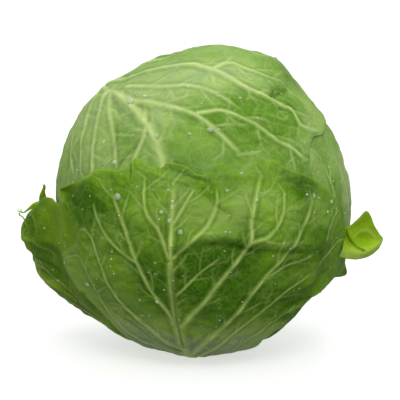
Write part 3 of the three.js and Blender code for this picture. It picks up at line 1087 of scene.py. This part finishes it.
WEARS = {
    "back_head_leaf": ("head_leaf", "head_leaf"),
    "right_head_leaf": ("head_leaf", "head_leaf"),
    "crown_leaf": ("head_leaf", "head_leaf"),
    "left_outer_leaf": ("side_leaf", "outer_leaf"),
    "right_outer_leaf": ("outer_leaf", "curled_leaf"),
    "lower_right_leaf": ("outer_leaf", "outer_leaf"),
    "back_outer_leaf": ("outer_leaf", "outer_leaf"),
    "front_leaf": ("outer_leaf", "outer_leaf"),
}
for name, (finish, slot) in WEARS.items():
    fine_leaves[name].data.materials.append(FINISHES[finish])
print("finishes", list(FINISHES))

# %% [markdown]
# ## The curled tip on the right
#
# The right outer leaf has a small lobe that turns away from the head like an ear: a bright inner
# face, a pale flange below it, and a deep crease where they meet. It leaves the head at a steep
# angle, so it isn't a distance above a direction any more. It is a sheet of its own instead,
# drawn smoothly through rows of points from the lower rim to the upper one.

# %% The curled tip's sheet
CURL_ROWS = [  # mm, each from the head out to the tip
    [(76, -31, 63.5), (81, -32, 62.5), (86, -31, 62.0), (91, -28, 62.2), (95.5, -24, 63.2),
     (99.5, -19, 65.2)],
    [(77.5, -31, 67.5), (82, -32, 67.5), (87, -32, 66.8), (92, -30, 66.8), (97, -25, 67.6),
     (101.3, -18, 68.4)],
    [(78.5, -29.5, 72), (82.5, -28, 71.6), (88, -24.5, 71.0), (93, -23, 71.0), (98, -20, 71.0),
     (102, -16, 70.8)],
    [(79, -29, 76.2), (83, -26.5, 76.4), (88, -24, 77.0), (93, -22.5, 77.2), (96.8, -20, 76.2),
     (100, -16, 73.6)],
    [(79.5, -28.5, 80), (83, -27.5, 80.8), (87.3, -26, 84.4), (91.6, -24, 88.2), (94.3, -22, 85),
     (96.3, -19, 79.6)],
]
CURL_STEPS = 9  # cells between two given points
CURL_SHIFT = np.array([0.8, 0, 0.4])  # mm, back onto the head
rows = np.stack([smooth_line(row, steps=CURL_STEPS) for row in CURL_ROWS])
sheet = smooth_line(rows.reshape(len(rows), -1), steps=CURL_STEPS).reshape(-1, rows.shape[1], 3)
down, across = sheet.shape[0] - 1, sheet.shape[1] - 1
curl_place = sheet.reshape(-1, 3) - CURL_SHIFT
print("curled tip", across, "by", down, "cells")

# %% [markdown]
# ## Creases in the curled tip
#
# Each cell of the sheet has two shares, how far out it is and how far up. A crease or a vein is a
# smooth line through such shares, and the points near it are pushed in or out. The creases and
# the hollow of the inner face get painted shade, and the edge a thin darker line of painted shade.

# %% The curled tip's creases
def near_line(points, path, wide):
    """1 on a path, fading to 0 over wide, for points and a path in the same flat units."""
    line = smooth_line(path)
    gap = np.sqrt(((points[:, None, :] - line[None]) ** 2).sum(2)).min(1)
    return np.exp(-((gap / wide) ** 2))


grid = np.meshgrid(np.linspace(0, 1, across + 1), np.linspace(0, 1, down + 1))
shares = np.stack(grid, axis=2).reshape(-1, 2)
out, up = shares.T
crease = near_line(shares, [(0.02, 0.86), (0.12, 0.62), (0.28, 0.4), (0.52, 0.24)], 0.035)
side_crease = near_line(shares, [(0.0, 0.7), (0.1, 0.5), (0.2, 0.34)], 0.03)
arc_vein = near_line(shares, [(0.28, 0.62), (0.4, 0.72), (0.62, 0.72), (0.78, 0.56)], 0.035)
hollow_shade = np.exp(-(((shares - (0.45, 0.6)) / 0.2) ** 2).sum(1))
to_edge = np.minimum(np.minimum(1 - out, up), 1 - up)
crumple = soft_noise(curl_place, 0.22, 31)
inwards = 2.0 * crease + 0.8 * side_crease - 0.5 * arc_vein
curl_place = curl_place + np.array([0, 1, 0]) * inwards[:, None]
curl_place = curl_place + np.array([0.2, 1, 0]) * (0.7 * crumple)[:, None]
curl = leaf_sheet("right_curled_tip", grid_mesh("right_curled_tip", across, down), curl_place * MM, {
    "vein": 0.45 * arc_vein,
    # painted shade in the creases and in the hollow of the inner face, and paler low down on the flange
    "shade": -0.95 * crease - 0.5 * side_crease + 0.3 * smoothstep((0.3 - up) / 0.3),
    "rim": smoothstep(1 - to_edge / 0.05),
    "tone": 0.7 * smoothstep((0.5 - up) / 0.35) - 0.5 * hollow_shade,
})
curl.data.materials.append(FINISHES["curled_leaf"])

# %% [markdown]
# ## Thin ends on the left
#
# The left outer leaf ends in a short rolled-up spike, and a torn thread of its edge hangs beside
# it with a drop of water caught in the loop. Both are tubes that taper along a smooth line.

# %% Spike and thread
TUBE_SIDES = 10


def close_rings(bm, rings):
    """Faces between each ring of points and the next."""
    for low, high in zip(rings, rings[1:]):
        for k in range(len(low)):
            j = (k + 1) % len(low)
            bm.faces.new((low[k], low[j], high[j], high[k]))


def tube(name, places, radii, finish, flat=1.0):
    """A closed tapering tube through places (mm), with a point at both tips."""
    line = smooth_line(places, steps=8)
    size = smooth_line(np.array(radii, float)[:, None], steps=8)[:, 0]
    ahead = unit(np.gradient(line, axis=0))
    side = unit(np.cross(ahead, (0, 1, 0)))
    other = np.cross(side, ahead)
    turn = np.linspace(0, 2 * math.pi, TUBE_SIDES, endpoint=False)
    bm = bmesh.new()
    rings = []
    for p, r, a, b in zip(line, size, side, other):
        rings.append([bm.verts.new((p + r * (math.cos(t) * a + flat * math.sin(t) * b)) * MM) for t in turn])
    close_rings(bm, rings)
    tips = (line[0] - ahead[0] * size[0], line[-1] + ahead[-1] * size[-1])
    for ring, tip in zip((rings[0], rings[-1]), tips):
        end = bm.verts.new(tip * MM)
        for k in range(TUBE_SIDES):
            bm.faces.new((ring[k], ring[(k + 1) % TUBE_SIDES], end))
    bmesh.ops.recalc_face_normals(bm, faces=bm.faces)
    made = into_scene(name, mesh_from(bm, name))
    made.data.materials.append(FINISHES[finish])
    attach(made, "root")
    print(name, len(made.data.polygons), "faces")


tube("left_spike",
     [(-92.5, -1, 86), (-93.2, -2, 91), (-92.9, -3, 94.6), (-92.2, -3.2, 97), (-92.2, -3.2, 98.6)],
     [2.9, 2.2, 1.2, 0.85, 0.7], "side_leaf", flat=0.7)
tube("left_thread_upper",
     [(-95, 1, 87), (-98.5, 1, 86), (-102.3, 1, 83.2), (-104.8, 1, 81.6), (-106.4, 1, 82)],
     [1.6, 1.3, 0.7, 0.45, 0.5], "curled_leaf", flat=0.5)
tube("left_thread_lower",
     [(-107.4, 1, 81.2), (-106.9, 1, 80), (-105.2, 1, 78.8), (-104, 1.5, 76), (-103, 2, 73)],
     [0.5, 0.45, 0.4, 0.45, 0.5], "curled_leaf")

# %% [markdown]
# ## Finishes inside and underneath
#
# Where the leaves gape, and round the stem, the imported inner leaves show: pale, yellow-green and
# finely netted. The stem was cut with a knife, so its face has a cream pith, a ring of fibres and
# a drier, browner skin. The rings are steps of colour by the distance from the stem's axis, with
# some noise added to that distance, because turned circles would look painted on.

# %% Inner leaf and stem finishes
def finish_from(name, make):
    material, n = new_material(name, Subsurface_Weight=0.1, Subsurface_Scale=0.002)
    cover_skin(n, *make(n), 0.0004)
    return material


def inner_tissue(n):
    place = n.add("ShaderNodeTexCoord").outputs["Object"]
    cloud = n.add("ShaderNodeTexNoise", {"Vector": place, "Scale": 60.0, "Detail": 4.0}).outputs["Fac"]
    net = n.add("ShaderNodeTexVoronoi", {"Vector": place, "Scale": 90.0}, feature="DISTANCE_TO_EDGE")
    lace = n.range(net.outputs["Distance"], 0.0, 0.08, 1.0, 0.0)
    colour = n.mix(cloud, srgb(176, 200, 118), srgb(206, 220, 156))
    colour = n.mix(n.math("MULTIPLY", lace, 0.4), colour, srgb(226, 234, 190))
    return colour, n.range(cloud, 0.3, 0.7, 0.4, 0.6), n.math("ADD", lace, cloud)


def stem_tissue(n):
    place = n.add("ShaderNodeTexCoord").outputs["Object"]
    part = n.add("ShaderNodeSeparateXYZ", {0: place}).outputs
    flat = n.add("ShaderNodeCombineXYZ", {0: part[0], 1: part[1]}).outputs[0]
    wobble = n.add("ShaderNodeTexNoise", {"Vector": place, "Scale": 160.0, "Detail": 4.0}).outputs["Fac"]
    out = n.add("ShaderNodeVectorMath", {0: flat}, operation="LENGTH").outputs["Value"]
    reach = n.math("ADD", n.math("MULTIPLY", out, 1000.0), n.math("MULTIPLY", wobble, 2.0))
    colour = n.mix(n.range(reach, 6.5, 9.0), srgb(222, 222, 178), srgb(200, 206, 146))
    colour = n.mix(n.range(reach, 9.6, 10.4), colour, srgb(172, 178, 112))
    colour = n.mix(n.range(reach, 11.2, 12.4), colour, srgb(206, 208, 156))
    colour = n.mix(n.range(reach, 13.6, 15.0), colour, srgb(158, 168, 96))
    dots = n.add("ShaderNodeTexVoronoi", {"Vector": flat, "Scale": 900.0}).outputs["Distance"]
    fibre = n.range(dots, 0.1, 0.45, 1.0, 0.0)
    colour = n.mix(n.math("MULTIPLY", fibre, 0.35), colour, srgb(150, 136, 88))
    return colour, n.range(wobble, 0.3, 0.7, 0.55, 0.75), n.math("ADD", fibre, wobble)


INNER_FINISH = finish_from("inner_leaf", inner_tissue)
STEM_FINISH = finish_from("cut_stem", stem_tissue)
print("finishes", INNER_FINISH.name, STEM_FINISH.name)

# %% [markdown]
# ## The inner head
#
# The inner leaves can't be parted without cutting the head, so they are one body. A sphere of
# triangles has no poles to pinch, and its points move out to the shape that the leaves lie on.

# %% Inner head
INNER_GAP = 1.0 * MM  # between the inner head and the first leaf
RIBBING = 0.4 * MM
STEM_DIMPLE = 2.0 * MM
bm = bmesh.new()
bmesh.ops.create_icosphere(bm, subdivisions=6, radius=1.0)
inner_mesh = mesh_from(bm, "inner_head_fine")
toward = unit(points_of(inner_mesh))
azimuth = np.arctan2(toward[:, 0], -toward[:, 1])
ribbing = RIBBING * np.sin(22 * azimuth + 3 * soft_noise(toward, 3, 41)) * (1 - abs(toward[:, 2])) ** 0.5
dimple = STEM_DIMPLE * smoothstep((-toward[:, 2] - 0.94) / 0.05)
radius = head_surface(toward) - INNER_GAP + ribbing - dimple
inner_mesh.vertices.foreach_set("co", (HEAD_MIDDLE + toward * radius[:, None]).ravel())
inner_mesh.materials.append(INNER_FINISH)
inner_head = into_scene("inner_head_fine", inner_mesh)
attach(inner_head, "root")
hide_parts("inner_head")
print("inner head", len(inner_mesh.polygons), "faces")

# %% [markdown]
# ## The cut stem
#
# The stub is flat where the knife went through, with a small rounded edge, and widens into the
# leaf bases. Fibres run up its side as ridges of three sizes, and it is slightly three-lobed. A
# turned stub would be perfectly round, so its rings of points are laid out one by one.

# %% Cut stem
STEM_RADIUS = 14 * MM
STEM_FLARE = 4.5 * MM
STEM_EDGE = 1.3 * MM  # height of the rounded edge
STEM_SIDES, STEM_RINGS = 96, 24
stem_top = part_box("cut_stem")[1][2] + 2 * MM
profile = [(share * STEM_RADIUS * 0.93, 0.0) for share in np.linspace(0.12, 1, 7)]
profile += [(STEM_RADIUS * 0.98, 0.5 * MM), (STEM_RADIUS, STEM_EDGE)]
for rise in np.linspace(0.1, 1, STEM_RINGS - len(profile)):
    profile.append((STEM_RADIUS + STEM_FLARE * rise ** 2, STEM_EDGE + rise * (stem_top - STEM_EDGE)))


def stem_point(out, high, turn):
    """A point of the stem's skin at a radius, a height and a turn round the axis."""
    fibre = 0.35 * math.sin(9 * turn + 1) + 0.22 * math.sin(23 * turn) + 0.12 * math.sin(41 * turn + 2)
    lobe = out * (1 + 0.03 * math.sin(3 * turn + 0.6)) + fibre * MM * smoothstep(high / (3 * MM))
    return lobe * math.sin(turn), -lobe * math.cos(turn), high


bm = bmesh.new()
turns = [2 * math.pi * k / STEM_SIDES for k in range(STEM_SIDES)]
rings = [[bm.verts.new(stem_point(out, high, turn)) for turn in turns] for out, high in profile]
close_rings(bm, rings)
bm.faces.new(rings[0])
bm.faces.new(rings[-1])
bmesh.ops.recalc_face_normals(bm, faces=bm.faces)
stem_mesh = mesh_from(bm, "cut_stem_fine")
stem_mesh.polygons.foreach_set("use_smooth", [len(p.vertices) == 4 for p in stem_mesh.polygons])
stem_mesh.materials.append(STEM_FINISH)
stem = into_scene("cut_stem_fine", stem_mesh)
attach(stem, "root")
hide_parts("cut_stem")
print("stem", len(stem_mesh.polygons), "faces, up to", round(stem_top / MM, 1), "mm")

# %% [markdown]
# ## Water
#
# The head has been sprayed. The bigger drops are placed one by one, and fine ones are scattered
# over the leaves with a fixed seed. Each drop is a low dome set on the leaf that a ray from
# outside meets first, so it follows the modelled veins and puffs.

# %% Places of the drops
BIG_DROPS = [  # azimuth, elevation, half width, half height, mm
    (-45, 47, 2.6, 2.3), (-37, 50, 1.8, 1.0), (-12, 56, 1.3, 1.0), (-22, 34, 1.1, 1.4), (-49, 29, 1.0, 1.8),
    (-39, 22, 1.9, 1.5), (-23, 47, 1.0, 0.8), (-7, 35, 1.0, 0.9), (2, 37, 1.7, 1.4), (6, 37, 1.0, 0.9),
    (7, 51, 0.9, 0.7), (98, 63, 2.4, 1.2), (-34, 10, 2.0, 2.0), (-9, -1, 1.5, 1.5), (-13, 3, 1.3, 1.5),
    (-16, 6, 1.1, 1.1), (-14, 14, 0.8, 0.8), (-12, 10, 0.8, 0.8), (8, 14, 1.0, 0.8), (19, 10, 1.1, 1.0),
    (40, 10, 1.7, 0.8), (44, 9, 0.9, 1.4), (55, 5, 1.3, 1.2), (51, 2, 0.9, 0.9), (-21, -31, 1.2, 1.4),
    (-37, -11, 0.7, 0.8), (-38, -14, 0.7, 0.8), (-39, -17, 0.6, 0.7), (-38, -20, 0.7, 0.7),
    (-60, -29, 2.0, 1.2), (-12, 8, 1.0, 1.4), (-47, 18, 0.8, 0.7), (20, 50, 1.0, 0.9), (-2, 48, 0.7, 0.7),
    (26, 41, 0.8, 0.8), (14, 20, 0.9, 0.9),
]
rng = np.random.default_rng(7)
small = []
for _ in range(260):
    high = rng.uniform(-0.75, 0.97)
    small.append((rng.uniform(-180, 180), math.degrees(math.asin(high)), *([rng.uniform(0.34, 0.72)] * 2)))
print(len(BIG_DROPS), "bigger drops and", len(small), "places for small ones")

# %% Drops
DROP_FLATNESS = 0.62  # a drop's height, as a share of its smaller half width
evaluated = bpy.context.evaluated_depsgraph_get()
grounds = []
for piece in fine_leaves.values():
    surface = piece.evaluated_get(evaluated).to_mesh()
    grounds.append(BVHTree.FromPolygons([v.co.copy() for v in surface.vertices],
                                        [tuple(f.vertices) for f in surface.polygons]))


def ground_below(away):
    """(place, outward normal) where a ray from outside, along -away, meets the first leaf."""
    start = Vector(HEAD_MIDDLE) + away * 0.2
    hits = [hit for hit in (ground.ray_cast(start, -away) for ground in grounds) if hit[0] is not None]
    return min(hits, key=lambda hit: hit[3])[:2] if hits else (None, None)


def add_drop(bm, spot, normal, away, wide, tall):
    """A dome of the two half widths, in millimetres, on the ground at spot."""
    sideways = Vector((-away.y, away.x, 0)).normalized()
    upwards = normal.cross(sideways).normalized()
    sideways = upwards.cross(normal)
    segments, rows = (10, 7) if wide > 0.7 else (7, 5)
    lift = DROP_FLATNESS * min(wide, tall)
    for vert in bmesh.ops.create_uvsphere(bm, u_segments=segments, v_segments=rows, radius=1.0)["verts"]:
        x, y, z = vert.co
        vert.co = spot + (sideways * x * wide + upwards * y * tall + normal * (z * lift + 0.12 * lift)) * MM


bm = bmesh.new()
for az, el, wide, tall in BIG_DROPS + small:
    away = Vector(direction(az, el))
    spot, normal = ground_below(away)
    if spot is not None and normal.dot(away) >= 0.5:
        add_drop(bm, spot, normal, away, wide, tall)
for vert in bmesh.ops.create_uvsphere(bm, u_segments=12, v_segments=8, radius=1.0)["verts"]:
    x, y, z = vert.co
    vert.co = Vector((-107.0 + 1.5 * x, 1.0 + 1.1 * y, 82.8 + 1.2 * z)) * MM  # caught in the thread
# the water is partly a pale diffuse colour instead of clear: a painted highlight standing in for the bright
# glints and light centres of real drops
water, _ = new_material("water", Base_Color=(0.9, 1.0, 0.74, 1), Roughness=0.03, IOR=1.33,
                        Transmission_Weight=0.6)
drops = into_scene("water_drops", mesh_from(bm, "water_drops"))
drops.data.materials.append(water)
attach(drops, "root")
print("drops", len(drops.data.polygons), "faces")

# %% [markdown]
# ## Floor, light and camera
#
# A plain white floor that fades into a white surround, one large soft light from above and a
# slightly stronger one from the front, so that the relief shows and the shadow stays faint. The
# camera looks along +Y from a little above, with a long lens so that the head isn't swollen by
# perspective.

# %% Stage
def stage_floor():
    bm = bmesh.new()
    bmesh.ops.create_grid(bm, x_segments=1, y_segments=1, size=8.0)
    floor = into_scene("floor", mesh_from(bm, "floor"))
    white, _ = new_material(
        "white_floor", Base_Color=(0.65, 0.65, 0.65, 1), Roughness=0.9, Specular_IOR_Level=0.0,
        Emission_Color=(1, 1, 1, 1), Emission_Strength=0.6)
    floor.data.materials.append(white)
    floor.visible_diffuse = False
    floor.visible_glossy = False


def soft_light(name, place, aim, size, power):
    lamp = bpy.data.lights.new(name, "AREA")
    lamp.shape = "DISK"
    lamp.size = size
    lamp.energy = power
    holder = into_scene(name, lamp)
    holder.location = place
    holder.rotation_euler = (aim - place).to_track_quat("-Z", "Y").to_euler()


stage_floor()
middle = Vector(HEAD_MIDDLE)
soft_light("overhead", middle + Vector((0.05, 0.1, 1.1)), middle, 0.7, 3)
soft_light("front", middle + Vector((0.1, -0.9, 0.8)), middle, 0.5, 4.2)
print("lights", [lamp.name for lamp in bpy.data.lights])

# %% Surround
HORIZON, ZENITH, NADIR = 0.44, 0.84, 0.3  # how strongly the surround shines
world = bpy.data.worlds.new("surround")
world.use_nodes = True
sky = Nodes(world.node_tree)
rise = sky.add("ShaderNodeSeparateXYZ", {0: sky.add("ShaderNodeTexCoord").outputs["Generated"]}).outputs[2]
above = sky.range(rise, 0, 1, HORIZON, ZENITH)
below = sky.range(rise, -0.5, 0, NADIR, HORIZON)
glow = sky.math("MULTIPLY", above, sky.math("DIVIDE", below, HORIZON))
sky.fill(world.node_tree.nodes["Background"], {"Strength": glow, "Color": (1, 1, 1, 1)})
bpy.context.scene.world = world
bpy.context.scene.view_settings.view_transform = "Standard"
print("surround", len(world.node_tree.nodes), "nodes")

# %% Camera
CAMERA_DISTANCE = 1.0
CAMERA_RISE = math.radians(12)
VIEW_WIDTH = 0.2304  # metres across at the aim
aim = middle + Vector((-0.0029, 0, -0.0018))
camera = into_scene("camera", bpy.data.cameras.new("camera"))
camera.data.sensor_width = 36.0
camera.data.lens = camera.data.sensor_width * CAMERA_DISTANCE / VIEW_WIDTH
camera.location = aim + CAMERA_DISTANCE * Vector((0, -math.cos(CAMERA_RISE), math.sin(CAMERA_RISE)))
camera.rotation_euler = (aim - camera.location).to_track_quat("-Z", "Y").to_euler()
bpy.context.scene.camera = camera
print("lens", round(camera.data.lens, 1), "mm")

# %% [markdown]
# ## Finish
#
# The scene is brought up to date, and the script's running time is printed.

# %% Finish
bpy.context.view_layer.update()
print("script took", round(time.time() - started, 1), "s")
